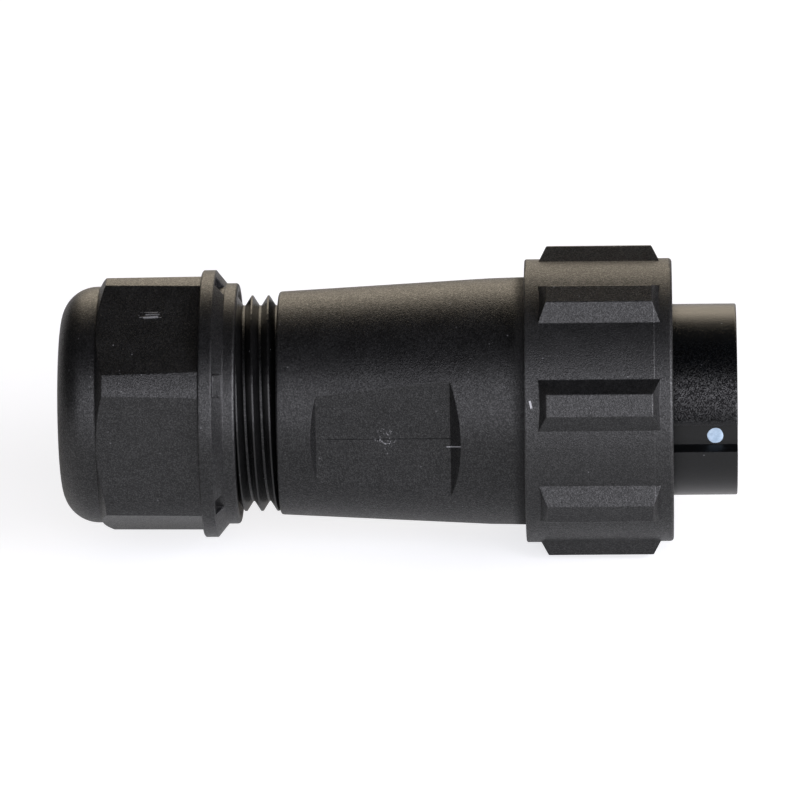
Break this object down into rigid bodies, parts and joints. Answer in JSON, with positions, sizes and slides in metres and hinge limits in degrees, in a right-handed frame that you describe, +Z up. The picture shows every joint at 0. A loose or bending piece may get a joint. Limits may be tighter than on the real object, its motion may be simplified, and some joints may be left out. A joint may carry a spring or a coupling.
{
  "type": "circular cable connector",
  "caption": "Circular cable connector: ribbed coupling ring round a keyed plug nose with socket contacts, tapered rear shell with spanner flats, and a screwed cable gland.",
  "frame": {"origin": "centre of the plug nose at its front rim, on the connector's axis", "axes": "+X along the axis, out of the nose towards the mating receptacle; -Y towards the key groove; +Z up as the connector lies on two ribs of its ring and on the gland nut's flange"},
  "size_m": [0.0624, 0.0272, 0.0272],
  "materials": {
    "satin_black_plastic": "moulded black plastic with a fine spark-eroded satin grain",
    "smooth_black_plastic": "moulded black plastic, smoother and slightly glossy",
    "insert_plastic": "dark grey glass-filled insulator, matt",
    "cage_plastic": "dark moulded clamp cage",
    "seal_rubber": "black nitrile rubber",
    "contact_metal": "turned brass with a silver plating"
  },
  "bodies": {
    "shell": {"rear_shell": "satin_black_plastic", "front_shell": "smooth_black_plastic", "contact_insert": "insert_plastic", "contact_retainer": "insert_plastic", "cable_seal": "seal_rubber", "interface_gasket": "seal_rubber", "shell_gasket": "seal_rubber", "socket_contact_1": "contact_metal", "socket_contact_2": "contact_metal", "socket_contact_3": "contact_metal", "socket_contact_4": "contact_metal", "socket_contact_5": "contact_metal", "socket_contact_6": "contact_metal", "earth_contact": "contact_metal"},
    "ring": {"coupling_ring": "satin_black_plastic"},
    "cage": {"clamp_cage": "cage_plastic"},
    "nut": {"gland_nut": "satin_black_plastic"}
  },
  "joints": [
    {"name": "ring_turn", "type": "hinge", "parent": "shell", "child": "ring", "pos_m": [-0.0151, 0, 0], "axis": [1, 0, 0], "continuous": true},
    {"name": "nut_travel", "type": "slide", "parent": "shell", "child": "cage", "axis": [1, 0, 0], "range_m": [-0.009, 0.00225]},
    {"name": "nut_turn", "type": "hinge", "parent": "cage", "child": "nut", "pos_m": [-0.0542, 0, 0], "axis": [1, 0, 0], "range_deg": [-2160, 540]}
  ],
  "couplings": [
    {"joint": "nut_travel", "follows": "nut_turn", "m_per_rad": 0.00023873}
  ]
}
